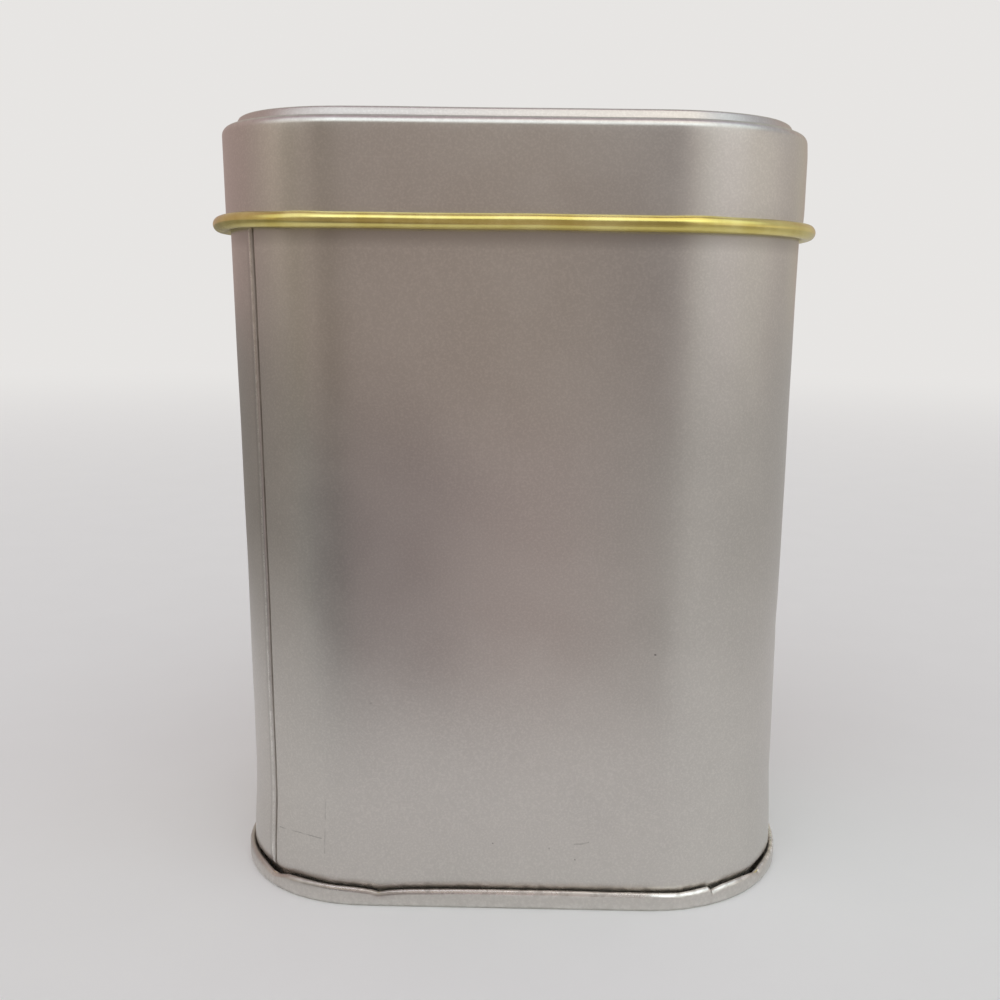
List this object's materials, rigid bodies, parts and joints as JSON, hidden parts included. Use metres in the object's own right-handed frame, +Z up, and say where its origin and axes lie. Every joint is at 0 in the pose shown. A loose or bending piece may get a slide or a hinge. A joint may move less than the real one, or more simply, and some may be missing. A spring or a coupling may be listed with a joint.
{
  "type": "spice tin",
  "caption": "Tall rounded-rectangle tinplate tin with a seamed side and base and a slip-on lid with a raised panel and an outward-rolled edge.",
  "frame": {"origin": "on the surface the tin stands on, under the middle of the tin", "axes": "+Z up, +X to the right along the broad front, -Y out of the front face; the side seam is on the front left corner"},
  "size_m": [0.0806, 0.0546, 0.1033],
  "materials": {
    "tinplate_wall": "satin tinplate outside, gold lacquer inside",
    "tinplate_base": "satin tinplate",
    "tinplate_lid": "satin tinplate outside, gold lacquer inside",
    "gold_lacquer": "glossy gold lacquer over tinplate"
  },
  "bodies": {
    "tin": {"body_wall": "tinplate_wall", "base_end": "tinplate_base"},
    "lid": {"lid_cover": "tinplate_lid", "lid_rolled_edge": "gold_lacquer"}
  },
  "joints": [
    {"name": "lid_lift", "type": "slide", "parent": "tin", "child": "lid", "axis": [0, 0, 1], "range_m": [0, 0.06]}
  ]
}
